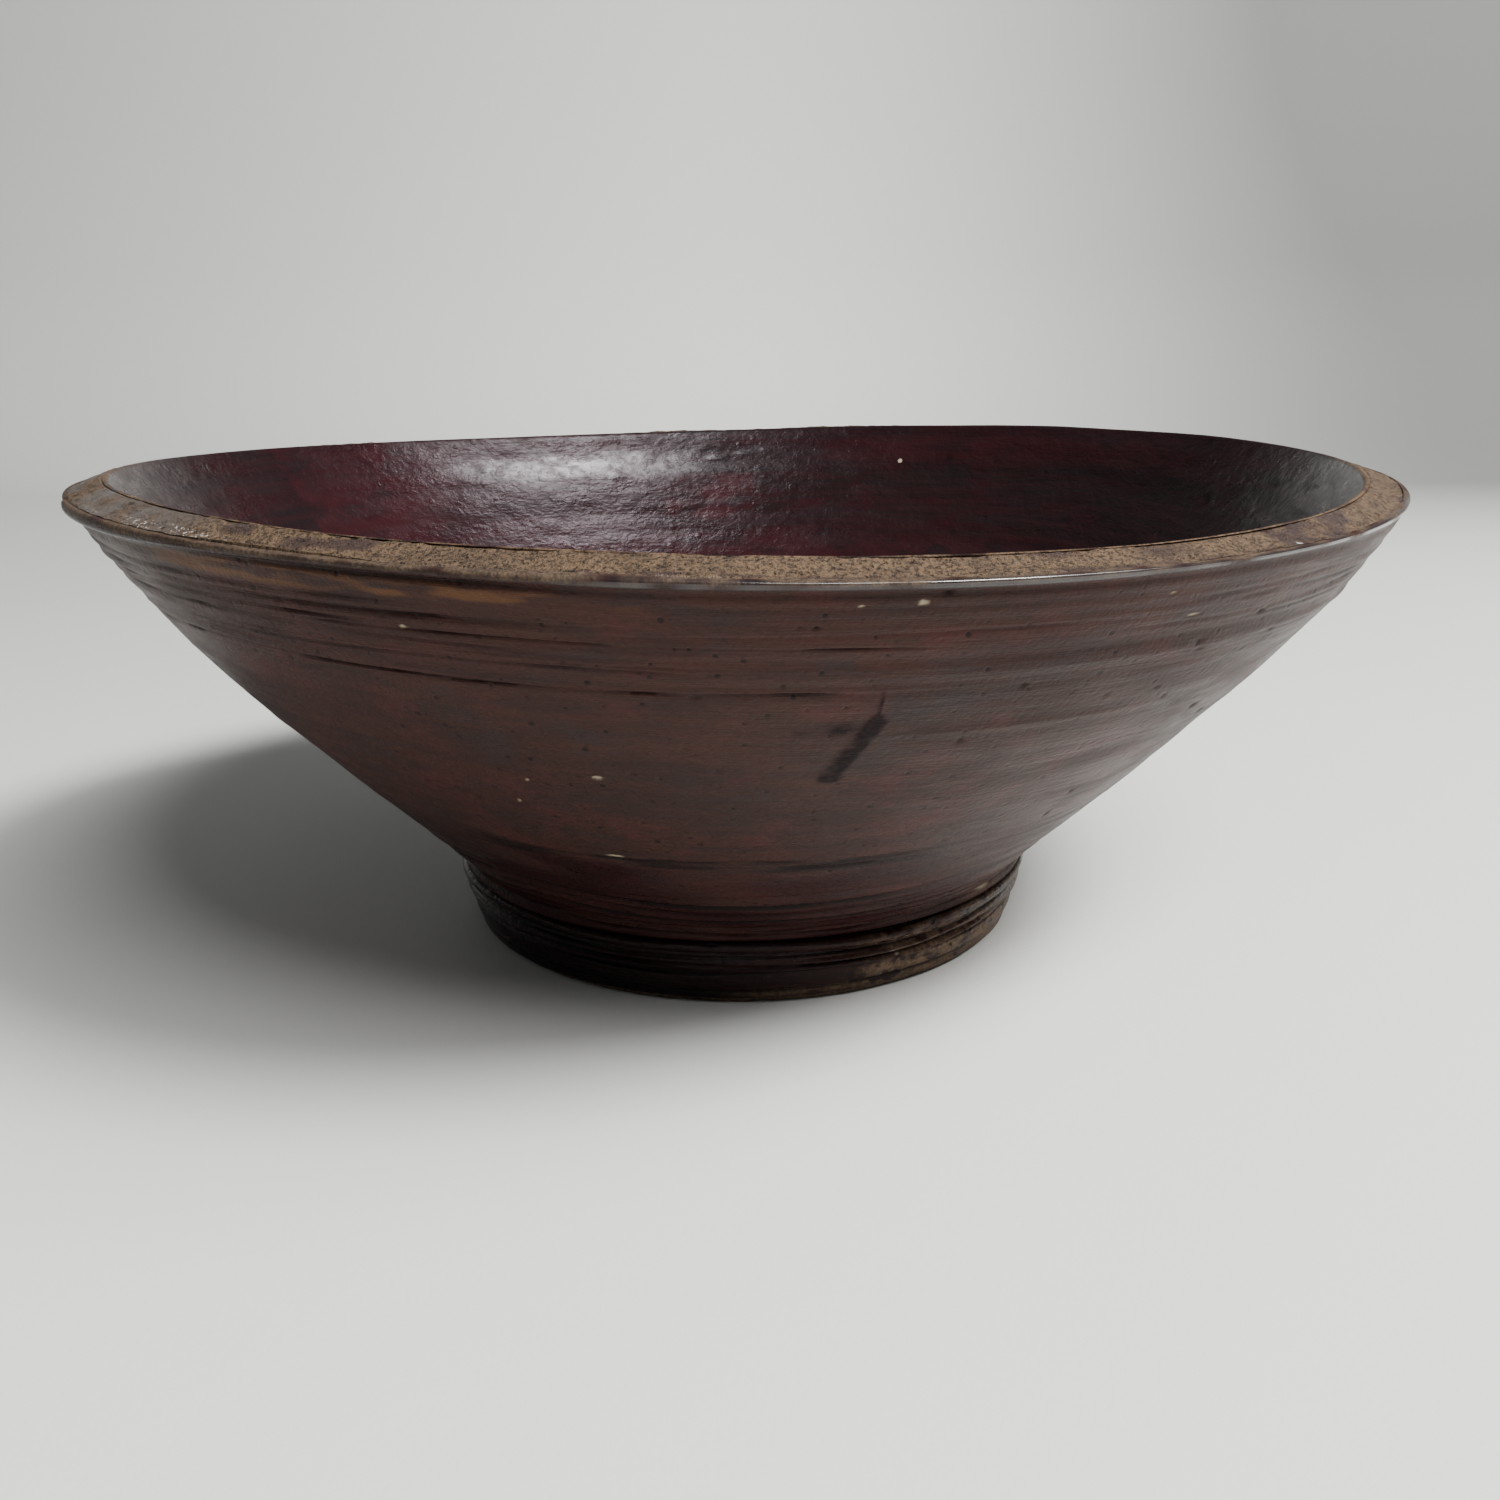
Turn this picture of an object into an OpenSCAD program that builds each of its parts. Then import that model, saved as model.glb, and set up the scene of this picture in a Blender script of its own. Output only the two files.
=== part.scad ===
// Wide turned bowl on a fitted foot ring, lacquered inside and out.
// Every piece is a solid of revolution about +Z, which is up.
// The origin is the centre of the face that the foot rests on. Millimetres.

/* [Bowl] */
// Diameter at the outer edge of the rim
rim_d = 450; // [400:5:500]
// Height of the rim's inner crest above the table
crest_h = 167.5; // [155:0.5:180]
// Diameter where the wall starts, above the foot
base_d = 213; // [195:1:230]
// How far the wall bellies out of a straight cone, as a share of its spread
belly = 0.29; // [0.1:0.01:0.4]
// How much of that belly sits high on the wall
lift = 0.12; // [0:0.01:0.2]

/* [Rim] */
// Width of the rim's sloping face, measured level
rim_w = 13; // [11:0.5:16]
// Drop of that face from its inner crest to its outer edge
rim_drop = 4.5; // [3:0.5:6]

/* [Hollow] */
// Height of the hollow's lowest point above the table
floor_h = 40; // [36:0.5:44]
// Power of the hollow's curve: a higher one gives a flatter floor
hollow_power = 2.65; // [2.5:0.05:2.9]

/* [Foot] */
// Height of the foot ring, up to the seam below the bowl
foot_h = 24.5; // [20:0.5:28]
// Outer diameter of the foot ring where it rests
foot_d = 202.5; // [190:0.5:205]
// Outer diameter of the foot ring at the seam
foot_top_d = 215; // [208:0.5:220]
// Inner diameter of the foot ring
foot_bore_d = 168; // [150:1:176]
// Diameter of the tenon that the foot ring is glued round
tenon_d = 184; // [180:0.5:188]
// Length of that tenon below the seam
tenon_len = 7; // [5:0.5:9]
// Small bevel round the foot's lower edge
foot_bevel = 1.2; // [0.6:0.1:2]
// Number of soft turned ridges round the foot's upper half
ridge_n = 3; // [1:1:5]
// How far those ridges stand out
ridge_w = 1; // [0:0.1:1.5]

/* [Lacquer] */
// Thickness of the lacquer coats, measured level
coat_w = 1.1; // [0.8:0.1:1.5]
// Height of bare wood below the foot's lacquer
bare_h = 2.5; // [1.5:0.5:4]

/* [Hidden] */
$fn = 180;
steps = 18;
foot_steps = 8 * ridge_n;
rim_r = rim_d / 2;
mouth_r = rim_r - rim_w;
edge_h = crest_h - rim_drop;
base_r = base_d / 2;
base_h = foot_h + 5;

// Share of the wall's spread reached at the share t of its height
function spread(t) = t + belly * t * (1 - t) + lift * t * (1 - t) * (2 * t - 1);

// Radius of the wall's outer face, a coat in or out, at the share t of its height
function wall_r(t, inset) = base_r - inset + (rim_r - base_r) * spread(t);

// The wall's outer line from the seam up to the rim's outer edge
function wall_line(inset) = concat(
    [[base_r - inset, foot_h]],
    [for (i = [0:steps - 1]) [wall_r(i / steps, inset), base_h + (edge_h - base_h) * i / steps]],
    [[rim_r - inset, edge_h + rim_drop * inset / rim_w]]
);

// The hollow's line from the rim's inner crest down to the centre of the floor
function hollow_line(inset) =
    let (top = crest_h - rim_drop * inset / rim_w, low = floor_h - inset, r = mouth_r + inset)
    [for (i = [steps:-1:0]) [r * i / steps, low + (top - low) * pow(i / steps, hollow_power)]];

// Radius of the foot's outer face at height z, without its ridges
function foot_r(z, inset) = (foot_d + (foot_top_d - foot_d) * z / foot_h) / 2 - inset;

// The foot's ridged line, from half its height up to the seam
function ridge_line(inset) = [
    for (i = [0:foot_steps])
        let (z = foot_h * (1 + i / foot_steps) / 2)
            [foot_r(z, inset) + ridge_w * pow(sin(180 * ridge_n * i / foot_steps), 2), z]
];

// The same line taken from its other end
function back(line) = [for (i = [len(line) - 1:-1:0]) line[i]];

// Wooden bowl: wall, floor and the tenon below the floor, in one turned piece
module bowl_body() {
    tenon_r = tenon_d / 2;
    color("saddlebrown")
        rotate_extrude()
            polygon(concat(
                [[0, foot_h - tenon_len], [tenon_r, foot_h - tenon_len], [tenon_r, foot_h]],
                wall_line(coat_w),
                hollow_line(coat_w)
            ));
}

// Turned ring that the bowl stands on, rebated to take the tenon
module foot_ring() {
    bore_r = foot_bore_d / 2;
    tenon_r = tenon_d / 2;
    color("sienna")
        rotate_extrude()
            polygon(concat(
                [[bore_r, 0], [foot_r(0, coat_w) - foot_bevel, 0], [foot_r(foot_bevel, coat_w), foot_bevel]],
                ridge_line(coat_w),
                [[tenon_r, foot_h], [tenon_r, foot_h - tenon_len], [bore_r, foot_h - tenon_len]]
            ));
}

// Coat over the wall, from the seam up to the rim's outer edge
module wall_lacquer() {
    color("#4a2c2a")
        rotate_extrude()
            polygon(concat(wall_line(0), back(wall_line(coat_w))));
}

// Coat over the whole hollow, up to the rim's inner crest
module hollow_lacquer() {
    color("#5a1a1c")
        rotate_extrude()
            polygon(concat(hollow_line(coat_w), back(hollow_line(0))));
}

// Coat round the foot ring, worn away along its lowest edge
module foot_lacquer() {
    color("#3a2422")
        rotate_extrude()
            polygon(concat(
                [[foot_r(bare_h, coat_w), bare_h], [foot_r(bare_h, 0), bare_h]],
                ridge_line(0),
                back(ridge_line(coat_w))
            ));
}

bowl_body();
foot_ring();
wall_lacquer();
hollow_lacquer();
foot_lacquer();
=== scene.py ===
# Wide turned bowl on a glued foot ring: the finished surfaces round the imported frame.
# Lengths inside the shape functions are millimetres; meshes are written in metres.
import math
import bpy
import numpy as np
from mathutils import Matrix, Vector


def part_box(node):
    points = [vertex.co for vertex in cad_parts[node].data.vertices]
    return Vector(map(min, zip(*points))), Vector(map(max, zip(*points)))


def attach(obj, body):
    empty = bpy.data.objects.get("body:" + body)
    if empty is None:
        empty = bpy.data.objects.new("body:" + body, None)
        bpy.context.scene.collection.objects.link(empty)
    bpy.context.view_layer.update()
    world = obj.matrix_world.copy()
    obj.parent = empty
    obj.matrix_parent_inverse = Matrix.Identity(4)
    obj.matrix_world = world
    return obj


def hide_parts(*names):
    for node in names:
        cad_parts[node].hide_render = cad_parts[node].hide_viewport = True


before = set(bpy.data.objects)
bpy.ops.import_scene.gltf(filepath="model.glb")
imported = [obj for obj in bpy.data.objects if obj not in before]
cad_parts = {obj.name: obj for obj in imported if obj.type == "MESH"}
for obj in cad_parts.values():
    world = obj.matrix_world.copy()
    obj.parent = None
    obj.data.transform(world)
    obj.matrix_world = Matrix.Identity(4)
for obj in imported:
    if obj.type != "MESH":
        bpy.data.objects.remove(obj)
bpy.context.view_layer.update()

MM = 0.001
# azimuths that grids crowd towards
FRONT = math.radians(-90)
BACK = math.radians(90)
# the highest level or radius that noise covers, and a limit past every point
FIELD_TOP = 235.0
BEYOND = 300.0


# ---------------- sizes, from the frame

def corner_mm(node):
    """Greatest radius, lowest and highest level of a CAD node, in millimetres."""
    low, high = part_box(node)
    return high[0] / MM, low[2] / MM, high[2] / MM


rim_r, seam_h, _ = corner_mm("wall_lacquer")
wood_r, recess_h, _ = corner_mm("bowl_body")
crest_r, hollow_low, crest_h = corner_mm("hollow_lacquer")
_, bare_h, _ = corner_mm("foot_lacquer")

COAT = rim_r - wood_r
MOUTH_R = crest_r - COAT
FLOOR_H = hollow_low + COAT
# sizes that the part's source states and no box gives
RIM_DROP = 4.5
EDGE_H = crest_h - RIM_DROP
BASE_R = 106.5
BASE_H = seam_h + 5.0
FOOT_R = 101.2
FOOT_TOP_R = 107.5
BORE_R = 84.0
TENON_R = 92.0
BELLY = 0.29
LIFT = 0.12
HOLLOW_POWER = 2.65
# the wall's bead, the tuck below it, and the levels where its coat is cut into three bands
BEAD_H = 161.9
TUCK_H = 159.6
BAND_LOW_H = 64.6
BAND_HIGH_H = 131.6
# mean radii that turn a width along a surface into an angle
WALL_MID = 175
SHOULDER_MID = 190
SCAR_MID = 195
RIM_MID = 218
HOLLOW_MID = 200
FOOT_MID = 104
SEAM_MID = 107
# columns of each grid round the axis
WALL_COLUMNS = 780
BOWL_COLUMNS = 1180
HOLLOW_COLUMNS = 480
FOOT_COLUMNS = 1000
RING_COLUMNS = 900


# ---------------- lines and grids

def wall_radius(level):
    """The wall's radius: a straight spread plus two humps that are nought at its foot and rim."""
    t = (level - BASE_H) / (EDGE_H - BASE_H)
    share = t + BELLY * t * (1 - t) + LIFT * t * (1 - t) * (2 * t - 1)
    return BASE_R + (rim_r - BASE_R) * share


def hollow_level(radius):
    """The hollow's height: the floor plus a power of the radius."""
    return FLOOR_H + (crest_h - FLOOR_H) * (radius / MOUTH_R) ** HOLLOW_POWER


def evenly(line, gap):
    """The same line with points a set gap apart along its length."""
    line = np.asarray(line, float)
    run = np.concatenate([[0], np.cumsum(np.hypot(*np.diff(line, axis=0).T))])
    count = max(2, int(round(run[-1] / gap)) + 1)
    at = np.linspace(0, run[-1], count)
    return np.stack([np.interp(at, run, line[:, 0]), np.interp(at, run, line[:, 1])], axis=1)


def outward(line):
    """Unit normals on the right-hand side of a line of (radius, height) points."""
    step = np.gradient(line, axis=0)
    step /= np.linalg.norm(step, axis=1)[:, None] + 1e-9
    return np.stack([step[:, 1], -step[:, 0]], axis=1)


def azimuths(count, towards=FRONT, crowd=0.45):
    """Angles round the axis, crowded towards one side by taking a sine away."""
    even = np.linspace(-math.pi, math.pi, count, endpoint=False)
    return even - crowd * np.sin(even - towards)


# ---------------- relief

def drift(az, waves, seed):
    """A smooth closed curve round the axis: seeded cosines of 1 to so many waves, of unit spread."""
    rng = np.random.default_rng(seed)
    k = np.arange(1, waves + 1)[:, None]
    size = rng.normal(size=(waves, 1))
    phase = rng.uniform(0, 2 * math.pi, (waves, 1))
    curve = (size * np.cos(k * az[None, :] + phase)).sum(axis=0)
    return curve / math.sqrt(waves / 2)


def b_spline(d):
    """The cubic B-spline bell of a distance counted in cells."""
    d = np.abs(d)
    near = 2 / 3 - d ** 2 + d ** 3 / 2
    far = np.clip(2 - d, 0, None) ** 3 / 6
    return np.where(d < 1, near, far)


def patches(az, level, cell_round, cell_up, seed):
    """Smooth seeded noise of unit spread: a coarse random grid, closed round the axis, blended by
    B-spline bells along both directions, as one product of three matrices. Its cells are so many
    degrees round and so many millimetres up."""
    rng = np.random.default_rng(seed)
    n = max(4, int(round(360 / cell_round)))
    rows = int(np.ceil(FIELD_TOP / cell_up)) + 4
    grid = rng.normal(size=(n, rows))
    d = (az[:, None] * n / (2 * math.pi) - np.arange(n)[None, :] + n / 2) % n - n / 2
    up = level[:, None] / cell_up + 1.5 - np.arange(rows)[None, :]
    return b_spline(d) @ grid @ b_spline(up).T * 2.1


def between(x, low, high, soft):
    """1 between two limits and 0 outside, with soft edges of a given width."""
    rise = np.clip((x - low) / soft + 0.5, 0, 1)
    fall = np.clip((high - x) / soft + 0.5, 0, 1)
    return rise * rise * (3 - 2 * rise) * fall * fall * (3 - 2 * fall)


def ragged(middle, spread, *noise):
    """Seeded noise about a middle value, cut off at nought and at one."""
    return np.clip(middle + spread * patches(*noise), 0, 1)


def zone(at, around, level, up):
    """A soft-edged region: between two azimuths in degrees times between two levels or radii."""
    return between(at, *around)[:, None] * between(level, *up)


def bells(az, level, spots, radius):
    """The sum of small humps, each a product of two bell curves: one round and one up."""
    spots = np.asarray(spots, float)
    away = (az[None, :] - np.radians(spots[:, :1]) + math.pi) % (2 * math.pi) - math.pi
    across = np.exp(-(away * radius / spots[:, 2:3]) ** 2)
    upward = np.exp(-((level[None, :] - spots[:, 1:2]) / spots[:, 3:4]) ** 2)
    return (across * spots[:, 4:5]).T @ upward


def warp(az, level):
    """How the dried bowl has moved at a level, in full at the rim: two waves round of height and
    of radius, and a slight tilt. Returns the rise and the stretch."""
    share = np.clip((level - seam_h) / (EDGE_H - seam_h), 0, 1.1)[None, :]
    a = az[:, None]
    rise = 3.13 * np.cos(2 * a - math.radians(46)) - 1.3 * np.cos(a - math.radians(35))
    stretch = 0.0051 * np.cos(2 * a - math.radians(18))
    return rise * share, 1 + stretch * share


# level, from and to azimuth, depth, half width of the turned grooves and cracks in the wall
GROOVES = [
    (153.4, -186, -114, 0.42, 0.5), (150.0, -190, -96, 0.60, 0.5), (149.4, -100, -66, 0.30, 0.7),
    (146.4, -188, -116, 0.75, 0.42), (145.4, -119, -79, 0.80, 0.30), (142.4, -192, -104, 0.70, 0.45),
    (140.0, -128, -92, 0.45, 0.5), (137.3, -186, -95, 0.55, 0.45), (134.4, -136, -104, 0.35, 0.6),
    (131.6, -190, -84, 0.80, 0.45), (152.6, -58, -4, 0.50, 0.8), (149.3, -54, -4, 0.55, 0.8),
    (146.4, -60, -4, 0.45, 0.8), (143.3, -52, -4, 0.50, 0.7), (140.2, -50, -4, 0.45, 0.8),
    (137.0, -46, -4, 0.42, 0.8), (132.6, -84, -20, 0.22, 0.8), (152.0, -5, 118, 0.32, 0.9),
    (147.6, 10, 200, 0.42, 0.8), (143.8, -12, 150, 0.36, 0.9), (139.5, 30, 215, 0.40, 0.8),
    (133.2, -20, 206, 0.45, 0.9), (66.6, -126, -70, 0.70, 0.7), (64.6, -116, -62, 0.50, 0.5),
    (63.4, -60, 160, 0.30, 0.8), (48.0, -178, -58, 0.35, 1.0), (43.2, -180, -46, 0.95, 1.3),
    (38.4, -196, -14, 0.60, 1.0), (34.0, -186, 20, 1.00, 1.2), (30.9, -180, 60, 0.45, 0.6),
    (27.8, -175, 0, 0.95, 1.0), (41.5, 20, 165, 0.60, 0.8), (34.5, 30, 180, 0.70, 0.7),
    (29.0, 10, 185, 0.60, 0.6),
]

# the same for the rounded ridges between them, with their height in place of the depth
RIDGES = [
    (151.8, -186, -110, 0.30, 0.9), (148.2, -190, -96, 0.42, 0.9), (144.2, -190, -92, 0.45, 0.9),
    (139.7, -190, -100, 0.40, 1.2), (134.3, -190, -100, 0.30, 1.3), (118.6, -80, -59, 0.22, 0.8),
    (45.6, -180, -60, 0.35, 1.5), (40.8, -184, -48, 0.50, 1.4), (36.2, -190, -20, 0.55, 1.3),
    (32.5, -186, 20, 0.50, 0.9), (29.4, -180, 10, 0.55, 0.8), (25.8, -180, 10, 0.35, 1.0),
    (150.9, -50, -4, 0.30, 0.9), (144.8, -50, -4, 0.30, 0.9), (138.6, -46, -4, 0.30, 0.9),
]

# azimuth, level, half width, half height, depth of pits and chips cut into the wall
PITS = [
    (-49.2, 144.0, 1.3, 0.9, 0.9), (-45.2, 136.2, 0.9, 0.7, 0.5), (-45.6, 110.6, 1.6, 1.1, 0.8),
    (-41.0, 105.0, 1.0, 0.9, 0.6), (-77.6, 159.6, 0.9, 0.6, 0.6), (-85.4, 151.2, 0.8, 0.6, 0.7),
    (-86.4, 151.4, 0.6, 0.5, 0.4), (-72.8, 114.6, 1.2, 0.9, 0.6), (-113.4, 148.8, 0.9, 0.7, 0.5),
    (-122.0, 149.4, 1.0, 0.7, 0.5), (-102.0, 144.0, 0.6, 0.7, 0.4), (-101.6, 140.2, 0.7, 0.7, 0.4),
    (-105.6, 125.0, 0.7, 0.6, 0.4), (-102.2, 116.6, 0.9, 0.6, 0.4), (-94.4, 114.2, 0.8, 0.7, 0.4),
    (-92.0, 105.8, 0.8, 0.7, 0.5), (-69.8, 131.6, 0.9, 0.8, 0.5), (-55.2, 138.4, 1.5, 1.1, 0.5),
    (-54.6, 136.0, 1.1, 0.8, 0.4), (-61.4, 125.2, 0.8, 0.7, 0.4), (-56.0, 124.4, 1.0, 0.8, 0.4),
    (-53.8, 120.0, 0.8, 0.6, 0.4), (-52.0, 82.0, 1.0, 0.8, 0.6), (-51.6, 72.0, 0.8, 1.1, 0.6),
    (-105.4, 93.0, 1.2, 0.5, 0.4), (-93.0, 131.0, 1.3, 0.7, 0.5), (-58.0, 57.0, 0.9, 0.6, 0.4),
]
# azimuth, level, half width, half height of places where the coat has chipped to pale ground
CHIPS = [
    (-104.8, 67.4, 3.6, 0.8), (-102.4, 101.4, 1.6, 0.7), (-57.9, 147.6, 1.9, 0.35),
    (-79.1, 157.4, 1.0, 0.9), (-112.3, 146.2, 0.9, 0.6), (-140.2, 158.0, 1.5, 0.7),
    (-38.2, 28.0, 9.0, 1.9), (-82.8, 156.8, 0.5, 0.4), (-61.2, 155.2, 0.5, 0.3),
    (-62.0, 84.0, 0.5, 0.5), (-112.0, 88.4, 0.6, 0.4), (-109.4, 98.0, 0.5, 0.4),
    (24.0, 120.0, 1.8, 0.8), (97.0, 88.0, 2.4, 0.7), (160.0, 136.0, 1.2, 0.6),
]


def scattered(count, seed, low, high, widest, deepest):
    """Seeded small spots all over a band of levels, each as wide as it is high."""
    rng = np.random.default_rng(seed)
    size = rng.uniform(0.35, 1, count) ** 2 * widest
    return np.stack([
        rng.uniform(-180, 180, count), rng.uniform(low, high, count), size, size * 0.8,
        rng.uniform(0.3, 1, count) * deepest], axis=1)


def swell(az, level):
    """The slow unevenness that wood and coat share."""
    broad = 0.38 * patches(az, level, 24, 26, 11)
    tool = 0.13 * patches(az, level, 9, 7, 12)
    return (broad + tool) * between(level, seam_h + 6, crest_h + 9, 12)


def lip(az):
    """How far the rim's edge overhangs the wall, from nought to one round the bowl."""
    heavy = between(np.degrees(az), -160, -101, 18) + 0.5 * between(np.degrees(az), 100, 170, 30)
    return np.clip(0.12 + 0.88 * heavy + 0.10 * drift(az, 5, 21), 0.04, 1)


def grooves(az, level, rows):
    """Turned grooves: bell-shaped cuts at their own wandering levels, fading in and out round
    the bowl, and opening and closing a little on the way. Returns the depth of cut."""
    cut = np.zeros((len(az), len(level)))
    for i, (at, start, stop, depth, half) in enumerate(rows):
        middle, reach = math.radians((start + stop) / 2), math.radians((stop - start) / 2)
        away = np.abs((az - middle + math.pi) % (2 * math.pi) - math.pi)
        shown = between(away, -1, reach, math.radians(9)) * (0.75 + 0.25 * drift(az, 17, 40 + i))
        wander = 0.55 * drift(az, 7, 70 + i)
        off = (level - at - wander[:, None]) / half
        cut += depth * np.clip(shown, 0, 1.3)[:, None] * np.exp(-off ** 2)
    return cut


def turning(az, level, seed):
    """Fine lines left by the turning tool: seeded noise up the wall that drifts slowly round it."""
    coarse = patches(az, level, 40, 2.3, seed)
    fine = patches(az, level, 26, 0.9, seed + 1)
    return 0.09 * coarse + 0.045 * fine


def scar_mask(az, level):
    """The rough run of lacquer on the front: a thin thread that widens as it falls to the left,
    with a short smear beside its head."""
    fall = np.clip((132.5 - level) / 30, 0, 1)
    line = np.radians(-80.2 - 2.5 * np.clip(fall * 1.5 - 0.45, 0, 1) ** 1.1)
    half = 0.45 + 2.5 * between(level, 101, 124.5, 3)
    across = (az[:, None] - line) * wall_radius(level)
    run = np.exp(-(across / half) ** 4) * between(level, 101.6, 132.5, 1.5)
    smear = bells(az, level, [(-82.8, 121.0, 4.5, 2.2, 0.75), (-85.6, 119.6, 3.0, 1.2, 0.4)], SCAR_MID)
    grain = 1.1 + 0.35 * patches(az, level, 0.55, 1.1, 31)
    return np.clip(np.maximum(run, smear * 0.8) * grain, 0, 1)


def wall_wear(az, level):
    """The wall's masks that no relief follows: worn to rust, darker red low down on the left, partly as
    painted shade, a smudge, and the edge, worn to wood or glassy. Each is a zone times ragged noise."""
    at = np.degrees(az)
    tatters = patches(az, level, 3.5, 1.3, 62) + 0.7 * patches(az, level, 1.2, 0.8, 68)
    worn = zone(at, (-135, -99, 16), level, (154.2, 158.6, 1.8))
    worn = worn + 0.7 * zone(at, (-46, 0, 12), level, (20, 38, 6))
    # darker red low down on the left; the second, wider band below is painted shade
    dark_red_and_shade = zone(at, (-178, -72, 34), level, (10, 64, 7))
    dark_red_and_shade = np.maximum(dark_red_and_shade, 0.9 * zone(at, (-190, -48, 30), level, (10, 46, 9)))
    smudge = zone(at, (-79.8, -73.5, 1.5), level, (123, 132, 4))
    glassy = between(at, -99, -22, 9)[:, None] * ragged(0.9, 0.5, az, level, 1.6, 4, 66)
    rub = between(level, 162.7, BEYOND, 0.7) * (1 - glassy)
    rub = rub + lip(az)[:, None] * between(level, 161.8, BEYOND, 0.7)
    rub = rub + glassy * between(level, 163.35, BEYOND, 0.35)
    return {
        "worn": worn * np.clip(0.45 + 0.55 * tatters, 0, 1),
        "dark_red_and_shade": dark_red_and_shade * ragged(0.8, 0.35, az, level, 8, 6, 63),
        "smudge": smudge * ragged(0.8, 0.5, az, level, 1.2, 1.5, 67),
        "rub": np.clip(rub * (0.8 + 0.4 * patches(az, level, 0.9, 1.2, 65)), 0, 1),
        "gloss": glassy * between(level, 161.5, 163.35, 0.5)}


def edge_relief(az, level):
    """The bead along the wall's upper edge and the tuck below it, both heavier at the left: bell
    curves of the level whose height and width grow with the lip's overhang."""
    over = lip(az)[:, None]
    heavy = between(np.degrees(az), -205, -128, 30)[:, None]
    half = 1.1 + 0.9 * heavy
    bead = (0.30 + 0.65 * over + 1.1 * heavy) * np.exp(-((level - BEAD_H + 1.1 * heavy) / half) ** 2)
    bead = bead - 0.9 * heavy * between(level, BEAD_H + 1, BEYOND, 0.9)
    under = 0.9 * heavy * np.exp(-((level - TUCK_H + 1.6) / 1.3) ** 2)
    return bead, over * (np.exp(-((level - TUCK_H) / 0.8) ** 2) + under)


def wall_relief(az, level):
    """The wall coat's relief and its masks. The relief is the shared swell with turning lines,
    ridges, the bead, nibs and the scar added, and the tuck, grooves, pits and chips taken away.
    Each mask runs from nought to one."""
    broken = np.clip(0.85 + 0.30 * patches(az, level, 2.6, 1.6, 32), 0.3, 1.4)
    broken = broken + (1.15 - broken) * 0.7 * between(level, 20, 50, 6)
    cut = grooves(az, level, GROOVES) * broken
    raised = grooves(az, level, RIDGES)
    lined = between(level, 131, 160, 5) + 1.9 * between(level, 20, 46, 5) + 0.35
    pits = bells(az, level, PITS, SHOULDER_MID)
    pits = pits + bells(az, level, scattered(260, 51, 26, 159, 1.1, 0.34), WALL_MID)
    nibs = bells(az, level, scattered(170, 52, 30, 158, 0.9, 0.30), WALL_MID)
    chips = bells(az, level, [(*chip, 1.0) for chip in CHIPS], WALL_MID)
    scar = scar_mask(az, level)
    bead, tuck = edge_relief(az, level)
    relief = swell(az, level) + turning(az, level, 61) * lined + raised
    relief += bead - tuck - cut - pits + nibs - 0.35 * np.clip(chips * 1.6, 0, 1) + 0.28 * scar
    # painted shade: the coat is darkened in the grooves, in pits and in the tuck under the lip, where shade
    # falls
    dirt_and_shade = np.clip((cut - 0.22) / 0.6 + pits / 0.5 + tuck / 0.8, 0, 1)
    smoky = zone(np.degrees(az), (-124, -66, 14), level, (62.6, 68.0, 2.2))
    smoky = smoky * ragged(0.5, 0.7, az, level, 5, 0.9, 64)
    masks = wall_wear(az, level)
    masks["dirt_and_shade"] = np.maximum(dirt_and_shade, 0.85 * smoky)
    masks["chip"] = np.clip(chips * 2.2 - 0.7, 0, 1)
    masks["scar"] = scar
    masks["bead"] = np.clip(bead / 0.7, 0, 1)
    masks["crest"] = np.clip(raised / 0.5, 0, 1) * ragged(0.8, 0.4, az, level, 2.865, 0.9, 69)
    return relief, masks


# ---------------- meshes

def add_object(name, data):
    """A new object in the scene, at the origin."""
    made = bpy.data.objects.new(name, data)
    bpy.context.scene.collection.objects.link(made)
    return made


def softened(line, gap, width):
    """The line in even steps, with its corners rounded by a bell-shaped running mean."""
    line = evenly(line, gap)
    half = max(1, int(width / gap / 2))
    before = line[0] + (line[0] - line[1]) * np.arange(half, 0, -1)[:, None]
    after = line[-1] + (line[-1] - line[-2]) * np.arange(1, half + 1)[:, None]
    full = np.concatenate([before, line, after])
    bell = np.hanning(2 * half + 3)[1:-1]
    bell /= bell.sum()
    return np.stack([np.convolve(full[:, i], bell, "valid") for i in range(2)], axis=1)


def quads(rows, columns, closed):
    """Four-cornered faces of a grid that closes round the axis and, if told, along its section."""
    i = np.arange(columns)[:, None]
    j = np.arange(rows if closed else rows - 1)[None, :]
    i_next, j_next = (i + 1) % columns, (j + 1) % rows
    return np.stack([i * rows + j, i_next * rows + j, i_next * rows + j_next, i * rows + j_next],
                    axis=-1).reshape(-1, 4)


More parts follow.
